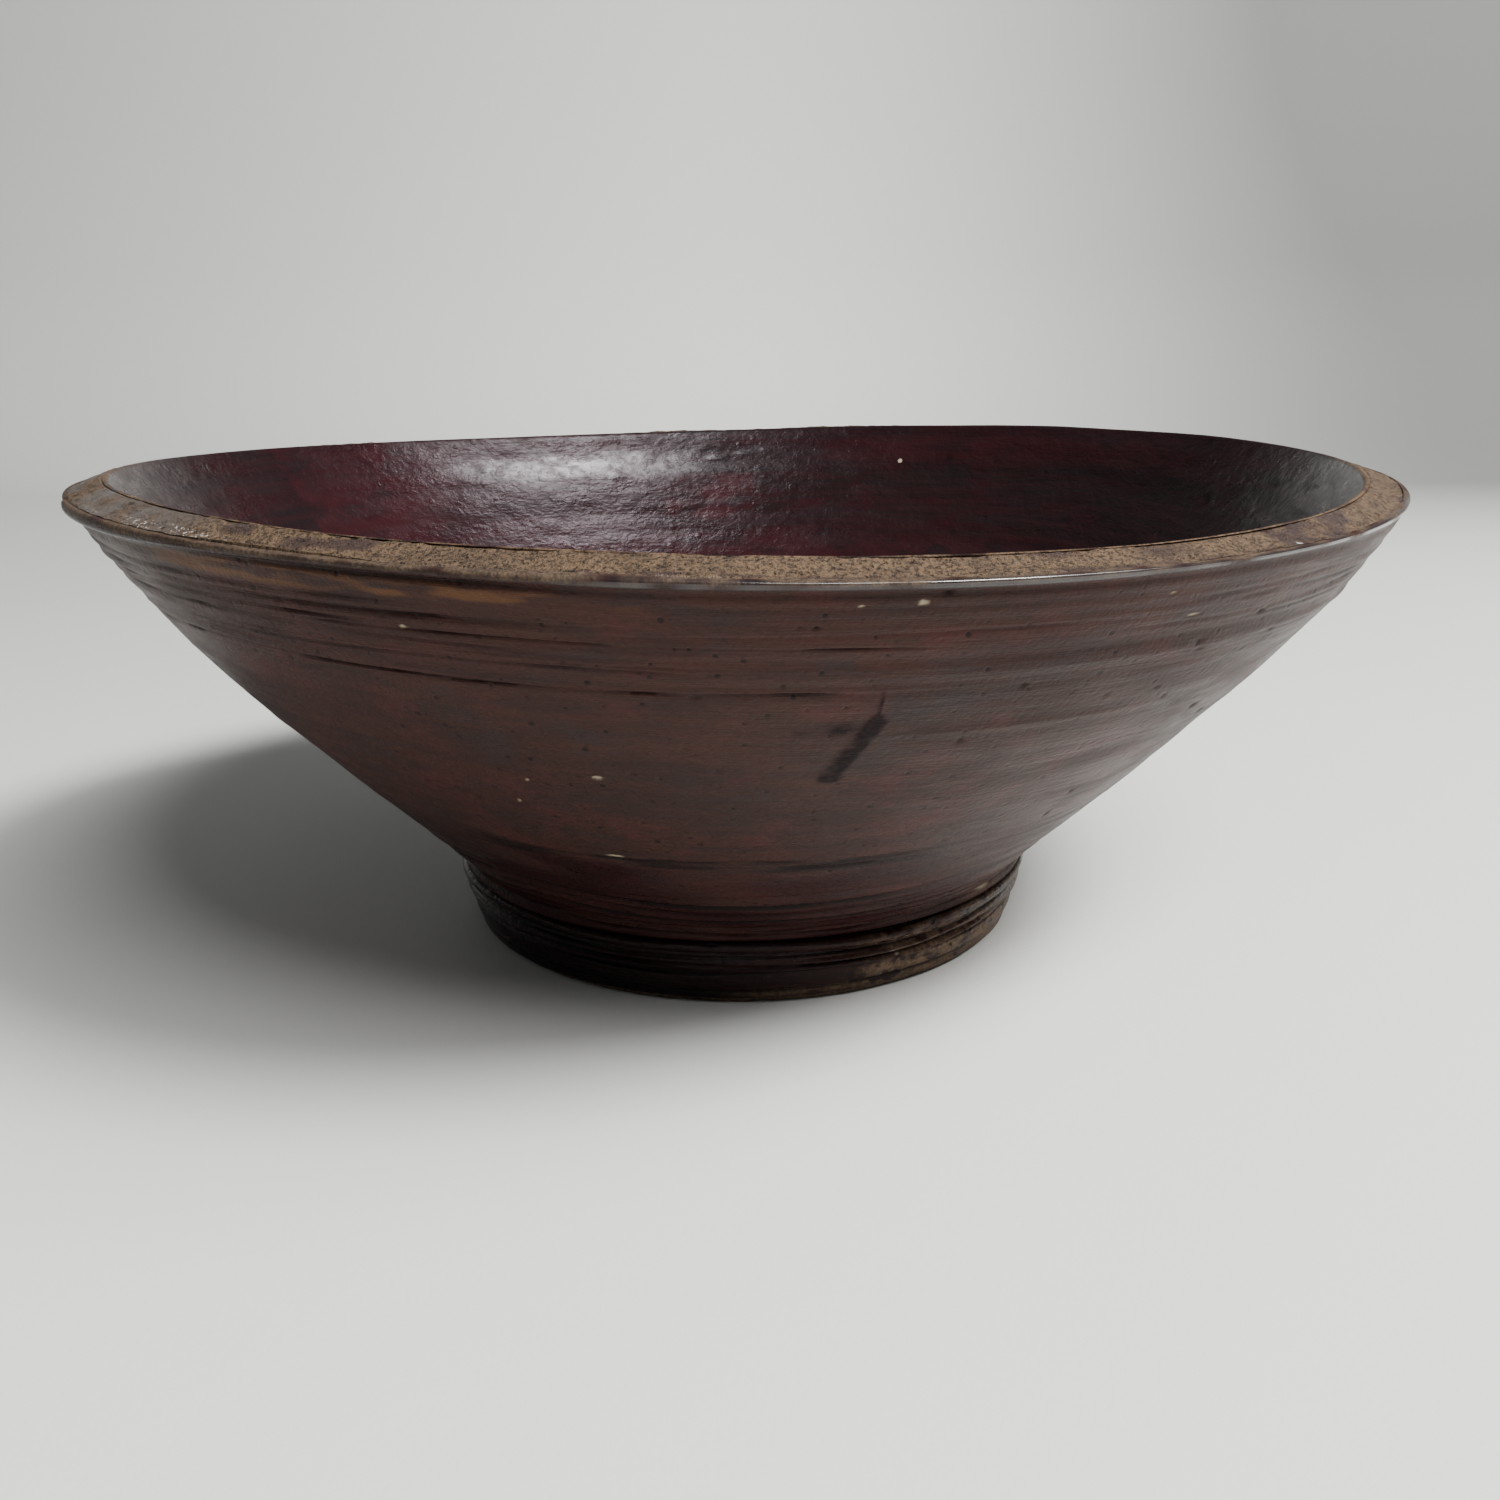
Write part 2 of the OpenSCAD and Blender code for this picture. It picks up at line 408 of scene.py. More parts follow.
def make_piece(name, points, closed, masks, turned, material):
    """Writes a grid of points to a mesh. An open section starts and ends near the axis, where a
    single point and a fan of triangles close it."""
    columns, rows = points.shape[:2]
    vertices = points.reshape(-1, 3)
    faces = quads(rows, columns, closed).tolist()
    extra = []
    if not closed:
        low, high = points[:, 0].mean(axis=0), points[:, -1].mean(axis=0)
        vertices = np.concatenate([vertices, [low, high]])
        bottom, top = columns * rows, columns * rows + 1
        ring = np.arange(columns)
        after = (ring + 1) % columns
        fan_low = np.stack([np.full(columns, bottom), after * rows, ring * rows], axis=1)
        fan_high = np.stack([np.full(columns, top), ring * rows + rows - 1, after * rows + rows - 1], axis=1)
        faces += fan_low.tolist() + fan_high.tolist()
        extra = [0, rows - 1]
    mesh = bpy.data.meshes.new(name)
    mesh.from_pydata((vertices * MM).tolist(), [], faces)
    mesh.shade_smooth()
    mesh.set_sharp_from_angle(angle=math.radians(55))
    for key, grid in masks.items():
        values = np.broadcast_to(grid, (columns, rows)).reshape(-1)
        if extra:
            values = np.concatenate([values, [grid[0, j] for j in extra]])
        mesh.attributes.new(key, "FLOAT", "POINT").data.foreach_set("value", values.astype(np.float32))
    cylinder = turned.reshape(-1, 3)
    if extra:
        cylinder = np.concatenate([cylinder, [turned[:, j].mean(axis=0) for j in extra]])
    mesh.attributes.new("turned", "FLOAT_VECTOR", "POINT").data.foreach_set(
        "vector", (cylinder * MM).astype(np.float32).reshape(-1))
    mesh.materials.append(material)
    return add_object(name, mesh)


def revolve(name, az, section, normal, relief, masks, closed, material, lift=0.0):
    """Carries a section round the axis. The relief pushes each point along the section's normal,
    and the warp lifts and stretches it. The attribute named turned holds the unwarped place."""
    r = section[None, :, 0] + relief * normal[None, :, 0]
    z = section[None, :, 1] + relief * normal[None, :, 1]
    rise, stretch = warp(az, section[:, 1])
    r, z = r * stretch, z + rise + lift
    round_x, round_y = np.cos(az)[:, None], np.sin(az)[:, None]
    points = np.stack([r * round_x, r * round_y, z], axis=-1)
    turned = np.stack([section[None, :, 0] * round_x, section[None, :, 0] * round_y,
                       np.broadcast_to(section[None, :, 1], r.shape)], axis=-1)
    return make_piece(name, points, closed, masks, turned, material)


def coat_shell(name, az, face, normal, relief, masks, material, every, depth, lift=0.0):
    """A coat as a closed shell: the face with its relief, and a back a set depth behind it that
    keeps only the shared swell and takes one face point in so many."""
    rear = np.append(np.arange(len(face) - 1, 0, -every), 0)
    section = np.concatenate([face, face[rear] - depth * normal[rear]])
    normals = np.concatenate([normal, normal[rear]])
    behind = swell(az, face[rear, 1])
    pushed = np.concatenate([relief, behind], axis=1)
    full = {key: np.concatenate([grid, np.zeros_like(behind)], axis=1) for key, grid in masks.items()}
    raised = lift if np.isscalar(lift) else np.concatenate([lift, lift[:, rear]], axis=1)
    return revolve(name, az, section, normals, pushed, full, True, material, raised)


# ---------------- shader groups

class Tree:
    """Short ways to add the nodes that the materials here are made of. Where a mask is asked for,
    its name stands for the attribute of that name."""

    def __init__(self, tree):
        self.tree = tree
        self.nodes = tree.nodes

    def put(self, socket, value):
        """Links a socket, or sets a number or a colour, which gets full alpha."""
        if isinstance(value, bpy.types.NodeSocket):
            self.tree.links.new(value, socket)
        else:
            socket.default_value = (*value, 1.0) if isinstance(value, tuple) else value

    def math(self, operation, a, b):
        node = self.nodes.new("ShaderNodeMath")
        node.operation = operation
        self.put(node.inputs[0], a)
        self.put(node.inputs[1], b)
        return node.outputs[0]

    def times(self, a, b):
        return self.math("MULTIPLY", a, b)

    def total(self, value, *terms):
        """The value plus each term's mask times its weight."""
        for mask, weight in terms:
            value = self.math("ADD", value, self.times(self.mask(mask), weight))
        return value

    def drawn_out(self, vector, times):
        """The place with its height stretched, which draws a pattern out round the axis."""
        node = self.nodes.new("ShaderNodeMapping")
        self.put(node.inputs["Vector"], vector)
        node.inputs["Scale"].default_value = (1, 1, times)
        return node.outputs["Vector"]

    def noise(self, vector, scale, detail, rough=0.55, twist=0.0):
        node = self.nodes.new("ShaderNodeTexNoise")
        self.put(node.inputs["Vector"], vector)
        settings = {"Scale": scale, "Detail": detail, "Roughness": rough, "Distortion": twist}
        for key, number in settings.items():
            node.inputs[key].default_value = number
        return node.outputs["Fac"]

    def span(self, value, low, high, to_low=0.0, to_high=1.0):
        """A smooth step from one output to the other between two values."""
        node = self.nodes.new("ShaderNodeMapRange")
        node.interpolation_type = "SMOOTHSTEP"
        self.put(node.inputs["Value"], value)
        for socket, number in zip(node.inputs[1:5], (low, high, to_low, to_high)):
            socket.default_value = number
        return node.outputs["Result"]

    def blend(self, factor, a, b):
        node = self.nodes.new("ShaderNodeMix")
        node.data_type = "RGBA"
        self.put(node.inputs[0], factor)
        self.put(node.inputs[6], a)
        self.put(node.inputs[7], b)
        return node.outputs[2]

    def layers(self, base, *rows):
        """The base under tones laid one over another, each where its mask shows, at its share."""
        for mask, share, tone in rows:
            base = self.blend(self.times(self.mask(mask), share), base, tone)
        return base

    def attribute(self, name, output):
        node = self.nodes.new("ShaderNodeAttribute")
        node.attribute_name = name
        return node.outputs[output]

    def mask(self, mask):
        return self.attribute(mask, "Fac") if isinstance(mask, str) else mask

    def near(self, vector, azimuth, radius, size):
        """1 within a ragged round spot of the hollow, given by its azimuth and radius."""
        turned = math.radians(azimuth)
        centre = Vector((radius * math.cos(turned), radius * math.sin(turned), hollow_level(radius))) * MM
        node = self.nodes.new("ShaderNodeVectorMath")
        node.operation = "DISTANCE"
        self.put(node.inputs[0], vector)
        node.inputs[1].default_value = centre
        away = self.total(node.outputs["Value"], (self.noise(vector, 700, 2), 0.9 * MM))
        return self.span(away, (size + 0.45) * MM, (size + 0.15) * MM)

    def group(self, group, **given):
        node = self.nodes.new("ShaderNodeGroup")
        node.node_tree = group
        for key, value in given.items():
            self.put(node.inputs[key], value)
        return node.outputs


def new_group(name, inputs, outputs):
    """An empty node group whose named sockets are given with their kinds."""
    group = bpy.data.node_groups.new(name, "ShaderNodeTree")
    for way, sockets in (("INPUT", inputs), ("OUTPUT", outputs)):
        for label, kind in sockets.items():
            group.interface.new_socket(label, in_out=way, socket_type="NodeSocket" + kind)
    tree = Tree(group)
    tree.given = group.nodes.new("NodeGroupInput").outputs
    tree.result = group.nodes.new("NodeGroupOutput").inputs
    return tree


def turning_lines():
    """Fine lines round the piece: noise squeezed along the axis, at two sizes."""
    tree = new_group("turning_lines", {"Place": "Vector"}, {"Height": "Float", "Streak": "Float"})
    broad = tree.noise(tree.drawn_out(tree.given["Place"], 26), 22, 4, 0.6)
    fine = tree.noise(tree.drawn_out(tree.given["Place"], 40), 60, 3, 0.6)
    tree.put(tree.result["Height"], tree.total(0.0, (broad, 0.6), (fine, 0.4)))
    tree.put(tree.result["Streak"], tree.span(broad, 0.35, 0.68))
    return tree.tree


def specks():
    """Small round spots: cells whose centres lie near and that a random value has picked."""
    tree = new_group("specks", {"Place": "Vector", "Scale": "Float", "Share": "Float"},
                     {"Spot": "Float", "Ring": "Float"})
    node = tree.nodes.new("ShaderNodeTexVoronoi")
    tree.put(node.inputs["Vector"], tree.given["Place"])
    tree.put(node.inputs["Scale"], tree.given["Scale"])
    parts = tree.nodes.new("ShaderNodeSeparateColor")
    tree.put(parts.inputs[0], node.outputs["Color"])
    picked = tree.math("LESS_THAN", parts.outputs[0], tree.given["Share"])
    near = tree.total(0.08, (parts.outputs[1], 0.22), (node.outputs["Distance"], -1.0))
    tree.put(tree.result["Spot"], tree.times(picked, tree.span(near, 0.0, 0.08)))
    tree.put(tree.result["Ring"], tree.times(picked, tree.span(near, -0.12, 0.02)))
    return tree.tree


def mottle():
    """Cloudy patches drawn out along the turning, from nought to one, and finer clouds in them."""
    tree = new_group("mottle", {"Place": "Vector"}, {"Cloud": "Float", "Smoke": "Float"})
    cloud = tree.noise(tree.drawn_out(tree.given["Place"], 2.6), 11, 5, 0.62, 0.6)
    smoke = tree.noise(tree.drawn_out(tree.given["Place"], 5), 34, 5, 0.6, 0.3)
    tree.put(tree.result["Cloud"], tree.span(cloud, 0.36, 0.64))
    tree.put(tree.result["Smoke"], tree.span(smoke, 0.34, 0.66))
    return tree.tree


def bare_wood():
    """Old bare wood from a light, a dark and an orange tone: grains of the three, dark pores."""
    tree = new_group("bare_wood", {"Place": "Vector", "Light": "Color", "Dark": "Color", "Orange": "Color"},
                     {"Colour": "Color", "Height": "Float"})
    place, light, dark, orange = (tree.given[key] for key in ("Place", "Light", "Dark", "Orange"))
    grain = tree.noise(place, 2200, 3, 0.7)
    speckle = tree.noise(place, 800, 4, 0.75)
    cloud = tree.noise(place, 60, 4, 0.6)
    pores = tree.group(SPECKS, Place=place, Scale=800.0, Share=0.5)
    base = tree.blend(tree.span(speckle, 0.41, 0.57), dark, light)
    tree.put(tree.result["Colour"], tree.layers(
        base,
        (tree.span(grain, 0.5, 0.68), 0.75, orange),
        (tree.span(cloud, 0.48, 0.7), 0.35, dark),
        (pores["Spot"], 0.85, (0.012, 0.007, 0.005))))
    tree.put(tree.result["Height"], tree.total(0.0, (speckle, 0.7), (grain, 0.4), (pores["Ring"], -0.5)))
    return tree.tree


LINES = turning_lines()
SPECKS = specks()
MOTTLE = mottle()
WOOD = bare_wood()


# ---------------- materials

def new_material(name):
    """A material with one Principled shader: itself, its tree and the shader's inputs."""
    material = bpy.data.materials.new(name)
    material.use_nodes = True
    tree = Tree(material.node_tree)
    return material, tree, tree.nodes["Principled BSDF"].inputs


def cover(tree, surface, base, rough, specular, bump):
    """Sets what all finishes share: colour, roughness, specular level, and a bump given by its
    height, its depth in metres and its strength."""
    tree.put(surface["Base Color"], base)
    tree.put(surface["Roughness"], rough)
    surface["Specular IOR Level"].default_value = specular
    height, depth, strength = bump
    node = tree.nodes.new("ShaderNodeBump")
    node.inputs["Strength"].default_value = strength
    node.inputs["Distance"].default_value = depth
    tree.put(node.inputs["Height"], height)
    tree.put(surface["Normal"], node.outputs["Normal"])


RIM_TONES = {"Light": (0.130, 0.086, 0.053), "Dark": (0.028, 0.019, 0.014),
             "Orange": (0.215, 0.122, 0.056)}
RING_TONES = {"Light": (0.150, 0.098, 0.060), "Dark": (0.056, 0.036, 0.025),
              "Orange": (0.190, 0.112, 0.058)}


def wall_lacquer():
    """Satin lacquer in clouds of warm and grey brown, with fine dark grains. It has painted shade in
    grooves, pits and under the lip, and is darker red low down on the left, partly as painted shade. It
    is worn to rust under the lip and to bare wood on the edge, with pale chips, a rough dark run and a
    glassy coat on part of the edge."""
    material, tree, surface = new_material("wall_lacquer")
    place = tree.attribute("turned", "Vector")
    lines = tree.group(LINES, Place=place)
    clouds = tree.group(MOTTLE, Place=place)
    dots = tree.group(SPECKS, Place=place, Scale=320.0, Share=0.24)
    wood = tree.group(WOOD, Place=place, **RIM_TONES)
    tint = tree.noise(tree.drawn_out(place, 1.7), 42, 4, 0.6)
    crumbs = tree.span(tree.noise(place, 800, 3, 0.7), 0.30, 0.50, 0.45, 1.0)
    base = tree.layers(
        tree.blend(clouds["Cloud"], (0.030, 0.0150, 0.0115), (0.042, 0.0165, 0.0135)),
        (clouds["Smoke"], 0.7, (0.024, 0.0150, 0.0135)),
        (lines["Streak"], 0.25, (0.056, 0.018, 0.0135)),
        (tree.span(tint, 0.52, 0.68), 0.6, (0.056, 0.0175, 0.0165)),
        (tree.span(tint, 0.46, 0.32), 0.6, (0.027, 0.0185, 0.0180)),
        (tree.span(tree.noise(place, 700, 5, 0.8), 0.50, 0.66), 0.5, (0.014, 0.0075, 0.0068)),
        ("smudge", 0.55, (0.019, 0.015, 0.0165)),
        # darker red low on the left, partly painted shade
        ("dark_red_and_shade", 0.85, (0.0150, 0.0034, 0.0040)),
        ("worn", 0.7, (0.105, 0.047, 0.019)),
        ("crest", 0.5, (0.042, 0.017, 0.014)),
        # painted shade in grooves, pits and the tuck under the lip, together with the dark smoky line
        ("dirt_and_shade", 0.9, (0.0045, 0.0028, 0.0028)),
        (dots["Spot"], 0.8, (0.004, 0.003, 0.003)),
        (tree.times(tree.mask("scar"), crumbs), 0.9, (0.0045, 0.0018, 0.0028)),
        ("bead", 0.6, (0.014, 0.009, 0.010)),
        ("gloss", 0.8, (0.008, 0.0045, 0.006)),
        ("rub", 1.0, tree.blend(0.55, wood["Colour"], (0.045, 0.036, 0.031))),
        ("chip", 1.0, (0.30, 0.25, 0.17)))
    rough = tree.total(0.33, (clouds["Smoke"], 0.12), ("scar", 0.25), ("bead", -0.18), ("dark_red_and_shade", -0.08),
                       ("rub", 0.3))
    height = tree.total(lines["Height"], (dots["Ring"], -0.35), (tree.noise(place, 600, 4, 0.65), 0.9))
    cover(tree, surface, base, rough, 0.08, (height, 0.0005, 0.8))
    tree.put(surface["Coat Weight"], tree.mask("gloss"))
    surface["Coat Roughness"].default_value = 0.12
    return material


def hollow_lacquer():
    """Glossy wine-red lacquer worn through to brown-black, over small flat tool marks, with one
    pale chip. A soft coat over part of it, broken by the same marks, gives the sheen."""
    material, tree, surface = new_material("hollow_lacquer")
    place = tree.attribute("turned", "Vector")
    lines = tree.group(LINES, Place=place)
    clouds = tree.group(MOTTLE, Place=place)
    dots = tree.group(SPECKS, Place=place, Scale=150.0, Share=0.12)
    wood = tree.group(WOOD, Place=place, **RIM_TONES)
    scales = tree.noise(tree.drawn_out(place, 1.6), 230, 4, 0.62, 0.3)
    base = tree.layers(
        tree.blend(clouds["Cloud"], (0.0094, 0.0054, 0.0060), (0.018, 0.0042, 0.0058)),
        (clouds["Smoke"], 0.6, (0.0115, 0.0068, 0.0076)),
        ("brown", 0.8, (0.0092, 0.0068, 0.0066)),
        ("red", 0.75, (0.031, 0.0062, 0.0080)),
        (lines["Streak"], 0.35, (0.027, 0.0058, 0.0074)),
        ("dirt_and_shade", 0.8, (0.002, 0.0015, 0.0015)),
        ("rub", 1.0, wood["Colour"]),
        (tree.near(place, 67, 201.5, 1.25), 1.0, (0.36, 0.30, 0.21)))
    rough = tree.total(0.25, (clouds["Smoke"], 0.12), ("rub", 0.3))
    height = tree.total(0.0, (scales, 1.2), (lines["Height"], 0.4), (dots["Ring"], -0.4))
    cover(tree, surface, base, rough, 0.19, (height, 0.0006, 0.8))
    tree.put(surface["Specular Tint"], (1.0, 0.90, 0.98))
    sheen = tree.span(scales, 0.36, 0.62, 0.10, 0.42)
    tree.put(surface["Coat Weight"], tree.times(tree.mask("shine"), sheen))
    surface["Coat Roughness"].default_value = 0.27
    return material


def foot_lacquer():
    """Glossy near-black brown lacquer, worn to ochre along its ridges and lower edge. Painted light makes
    its right side a lighter ochre and paints glints as pale spots on its upper ridges; painted shade darkens
    its left side and its grooves.
    """
    material, tree, surface = new_material("foot_lacquer")
    place = tree.attribute("turned", "Vector")
    lines = tree.group(LINES, Place=place)
    clouds = tree.group(MOTTLE, Place=place)
    wood = tree.group(WOOD, Place=place, **RING_TONES)
    base = tree.layers(
        tree.blend(clouds["Smoke"], (0.0135, 0.0058, 0.0050), (0.024, 0.0092, 0.0072)),
        (lines["Streak"], 0.35, (0.042, 0.0125, 0.0085)),
        # painted shade: the foot's left side is darker
        ("dark_red_and_shade", 0.85, (0.0058, 0.0016, 0.0018)),
        # worn ochre, spread lighter over the right side as painted light
        ("worn", 0.9, wood["Colour"]),
        # darker in pits and the torn seam, and painted shade in the grooves
        ("dirt_and_shade", 0.9, (0.0022, 0.0015, 0.0015)),
        # painted glints: the pale spots on the foot's upper ridges
        ("chip", 1.0, (0.30, 0.25, 0.22)))
    rough = tree.total(0.13, ("worn", 0.30), (clouds["Smoke"], 0.15))
    height = tree.total(lines["Height"], (tree.noise(place, 420, 4, 0.65), 1.0))
    cover(tree, surface, base, rough, 0.14, (height, 0.0006, 0.9))
    return material


def worn_wood(name, tones):
    """Bare old wood with grey weathering, lacquer left in smears, darkened dents and white chips, and
    small white grains that are painted glints."""
    material, tree, surface = new_material(name)
    place = tree.attribute("turned", "Vector")
    wood = tree.group(WOOD, Place=place, **tones)
    # painted glints: small white grains where the mask allows
    painted_glints = tree.times(tree.span(tree.noise(place, 1100, 2, 0.5), 0.60, 0.66), tree.mask("painted_glint"))
    base = tree.layers(
        wood["Colour"],
        ("grey", 0.8, (0.100, 0.086, 0.079)),
        ("lacquer", 0.8, (0.036, 0.021, 0.020)),
        ("dirt_and_shade", 0.85, (0.006, 0.0035, 0.003)),
        # white chips, and the painted glints
        (tree.math("MAXIMUM", tree.mask("chip"), painted_glints), 1.0, (0.62, 0.60, 0.57)))
    rough = tree.total(0.50, ("lacquer", -0.22), ("grey", -0.18))
    cover(tree, surface, base, rough, 0.25, (wood["Height"], 0.0012, 1.0))
    return material


def floor_paint():
    """Matt off-white paint with faint clouds and a fine orange-peel skin. The upright part is lighter, and
    painted shade greys it towards the right, the far left and the top."""
    material, tree, surface = new_material("floor_paint")
    place = tree.nodes.new("ShaderNodeTexCoord").outputs["Object"]
    parts = tree.nodes.new("ShaderNodeSeparateXYZ")
    tree.put(parts.inputs[0], place)
    behind = tree.span(parts.outputs["Y"], 0.6, 1.7)
    right = tree.span(parts.outputs["X"], -0.1, 1.05)
    left = tree.span(parts.outputs["X"], 0.0, -1.2)
    high = tree.span(parts.outputs["Z"], 0.1, 0.7)
    shade = tree.math("MINIMUM", tree.total(right, (left, 0.25), (high, 0.18)), 1.0)
    base = tree.layers(
        tree.blend(tree.noise(place, 3.0, 4, 0.6), (0.70, 0.705, 0.68), (0.74, 0.745, 0.72)),
        (behind, 1.0, (0.86, 0.865, 0.84)),
        (shade, behind, (0.26, 0.262, 0.252)))
    cover(tree, surface, base, 0.7, 0.1, (tree.noise(place, 420, 3, 0.6), 0.0004, 0.25))
    return material


# ---------------- pieces

def wall_line():
    """The wall's finished face from the seam up over the rim's outer edge, in three bands of
    rows that share their end rows, and the number of the row where each band ends."""
    low = evenly([(BASE_R, seam_h + 0.15), (BASE_R + 0.2, BASE_H - 0.6)], 0.52)
    belly_low = np.linspace(BASE_H, BAND_LOW_H, 96)
    belly_high = np.linspace(BAND_LOW_H, BAND_HIGH_H, 112)[1:]
    rest = np.concatenate([low, np.stack([wall_radius(belly_low), belly_low], axis=1)])
    rest = softened(rest, 0.52, 5)
    middle = np.stack([wall_radius(belly_high), belly_high], axis=1)
    shoulder = np.linspace(BAND_HIGH_H, EDGE_H, 90)
    inner = (rim_r - 1.9, EDGE_H + RIM_DROP * 1.9 / (rim_r - MOUTH_R))
    top = np.concatenate([np.stack([wall_radius(shoulder), shoulder], axis=1), [inner]])
    top = softened(top, 0.34, 2.6)
    line = np.concatenate([rest, middle, top[1:]])
    return line, (len(rest), len(rest) + len(middle), len(line))


def build_wall(material):
    """The wall's coat in three shells, one above the other, whose faces meet row to row."""
    line, ends = wall_line()
    normal = outward(line)
    az = azimuths(WALL_COLUMNS)
    made = []
    starts = (0, ends[0] - 1, ends[1] - 1)
    for name, start, end in zip(("wall_coat_lower", "wall_coat_middle", "wall_coat_upper"), starts, ends):
        face = line[start:end]
        relief, masks = wall_relief(az, face[:, 1])
        made.append(coat_shell(name, az, face, normal[start:end], relief, masks, material, every=18,
                               depth=COAT + 0.6))
    return made


def rim_relief(az, radius):
    """The bare rim: granular wear, faint turned lines and a few dents."""
    grain = 0.10 * patches(az, radius, 0.7, 2.2, 81) + 0.07 * patches(az, radius, 0.35, 0.9, 82)
    lines = 0.06 * patches(az, radius, 30, 0.9, 83)
    wave = 0.22 * patches(az, radius, 7, 8, 84)
    dents = bells(az, radius, scattered(240, 85, MOUTH_R, rim_r, 1.2, 0.35), RIM_MID)
    return grain + lines + wave - dents, dents


def build_bowl_wood(material):
    """The wooden bowl: tenon, shoulder, wall and hollow hidden under their coats, and the bare
    rim between them."""
    back = COAT + 0.25
    slope = RIM_DROP / (rim_r - MOUTH_R)
    rise = np.linspace(BASE_H, EDGE_H - 2.2, 16)
    rim_out, rim_in = rim_r - 1.5, MOUTH_R + 0.2
    fall = np.linspace(MOUTH_R - 4, 4, 18)
    rim = evenly([(rim_out, EDGE_H + slope * 1.5 - 0.32), (rim_in + 1.6, crest_h - 0.55),
                  (rim_in, crest_h - 1.2)], 0.36)
    section = np.concatenate([
        evenly([(3, recess_h), (TENON_R, recess_h)], 17), [(TENON_R, seam_h), (BASE_R - 4, seam_h)],
        [(BASE_R - back - 0.6, seam_h + 2)], np.stack([wall_radius(rise) - back - 1.2, rise], axis=1), rim,
        [(MOUTH_R - 1.6, hollow_level(MOUTH_R - 1.6) - back - 0.6)],
        np.stack([fall, hollow_level(fall) - back - 3.2], axis=1)])
    normal = outward(section)
    az = azimuths(BOWL_COLUMNS, crowd=0.5)
    first = len(section) - len(rim) - 1 - len(fall)
    shown = slice(first, first + len(rim))
    relief = swell(az, section[:, 1]) * (section[None, :, 0] > BASE_R)
    bare, dents = rim_relief(az, rim[:, 0])
    relief[:, shown] += bare * between(rim[:, 0], MOUTH_R + 1, BEYOND, 2)
    masks = {key: np.zeros_like(relief) for key in ("grey", "lacquer", "dirt_and_shade", "chip", "painted_glint")}
    at = np.degrees(az)
    grey = between(at, -230, -131, 12)[:, None] * ragged(0.7, 0.3, az, rim[:, 0], 1.146, 3, 86)
    masks["grey"][:, shown] = grey
    smear = between(at, -50.5, -42.5, 1.2)[:, None] * ragged(0.9, 0.5, az, rim[:, 0], 0.6875, 2, 87)
    stains = np.clip(patches(az, rim[:, 0], 2.865, 5, 88) - 1.1, 0, 1)
    shadow = zone(at, (-100, 12, 20), rim[:, 0], (rim_r - 3.6, BEYOND, 2.0))
    shadow = shadow * ragged(0.35, 0.7, az, rim[:, 0], 1.719, 2, 89)
    remains = between(at, -44, -30, 8)[:, None] * np.clip(patches(az, rim[:, 0], 1.719, 3, 79), 0, 1)
    masks["lacquer"][:, shown] = np.maximum(np.maximum(smear, remains), np.maximum(stains, shadow))
    crack = bells(az, rim[:, 0], [(-109.5, 218, 0.5, 3, 1.0)], RIM_MID)
    masks["dirt_and_shade"][:, shown] = np.clip(dents / 0.25 + crack, 0, 1)
    white = [(-71.3, 212.6, 1.0, 0.9, 1.3), (-49.0, 222.0, 0.9, 0.8, 1.3)]
    # painted glints: a row of white grains near the rim's outer edge at the left
    row = zone(at, (-147, -126, 3), rim[:, 0], (219.8, 223.6, 1.2))
    masks["painted_glint"][:, shown] = row * ragged(0.6, 0.8, az, rim[:, 0], 1.146, 2, 90)
    masks["chip"][:, shown] = np.clip(bells(az, rim[:, 0], white, RIM_MID) * 1.6 - 0.5, 0, 1)
    return revolve("bowl_wood", az, section, normal, relief, masks, False, material)


# azimuth, radius, half width, half length, depth of the hollow's larger pits and its gouge
GOUGES = [
    (16, 196.5, 1.4, 1.2, 0.7), (32, 187, 1.2, 1.0, 0.6), (86.4, 205.4, 3.0, 0.7, 0.4),
    (89.2, 204.5, 4.0, 0.6, 0.45), (93, 203.2, 5.0, 0.6, 0.4), (-4, 205, 5, 0.6, 0.7),
    (4, 203.6, 5, 0.6, 0.6),
]


def hollow_relief(az, radius, fade):
    """The hollow's tool marks: long shallow scales, turned lines, slow rings, pits and a gouge,
    which fade towards the middle. Returns the relief and its masks."""
    broad = 0.40 * patches(az, radius, 20, 26, 91)
    scales = 0.08 * patches(az, radius, 4.5, 4.5, 92) + 0.07 * patches(az, radius, 1.5, 2.2, 93)
    lines = 0.07 * patches(az, radius, 35, 2.2, 94)
    ring = 0.28 * np.sin((radius - 199.5 + 1.5 * drift(az, 4, 98)[:, None]) * (2 * math.pi / 20))
    lines = lines + ring * between(radius, 120, 211, 12)
    pits = bells(az, radius, GOUGES, HOLLOW_MID)
    pits += bells(az, radius, scattered(150, 95, 40, 209, 1.4, 0.4), SHOULDER_MID)
    relief = (broad + scales + lines - pits) * fade
    at = np.degrees(az)
    red = zone(at, (88.0, 101, 1.6), radius, (183, 198, 2.5))
    red = red + zone(at, (134, 178, 14), radius, (150, 212, 6)) * 0.8
    red = red + zone(at, (24, 78, 5), radius, (201.5, 208.5, 4)) * 0.55
    red = red + zone(at, (20, 140, 20), radius, (150, 179, 8)) * 0.6
    brown = zone(at, (-60, 74, 12), radius, (172, 203, 6))
    brown = brown + zone(at, (74, 88, 2.0), radius, (181, 203, 3)) * 0.9
    shine = zone(at, (84, 130, 22), radius, (198, 216, 9))
    wear = patches(az, radius, 2.6, 2.8, 96) + 0.7 * patches(az, radius, 1.1, 1.5, 99)
    wear = np.clip(0.62 + 0.42 * wear, 0, 1)
    return relief, {
        "dirt_and_shade": np.clip(pits / 0.5, 0, 1), "shine": shine,
        "red": np.clip(red * wear, 0, 1), "brown": np.clip(brown * wear, 0, 1)}


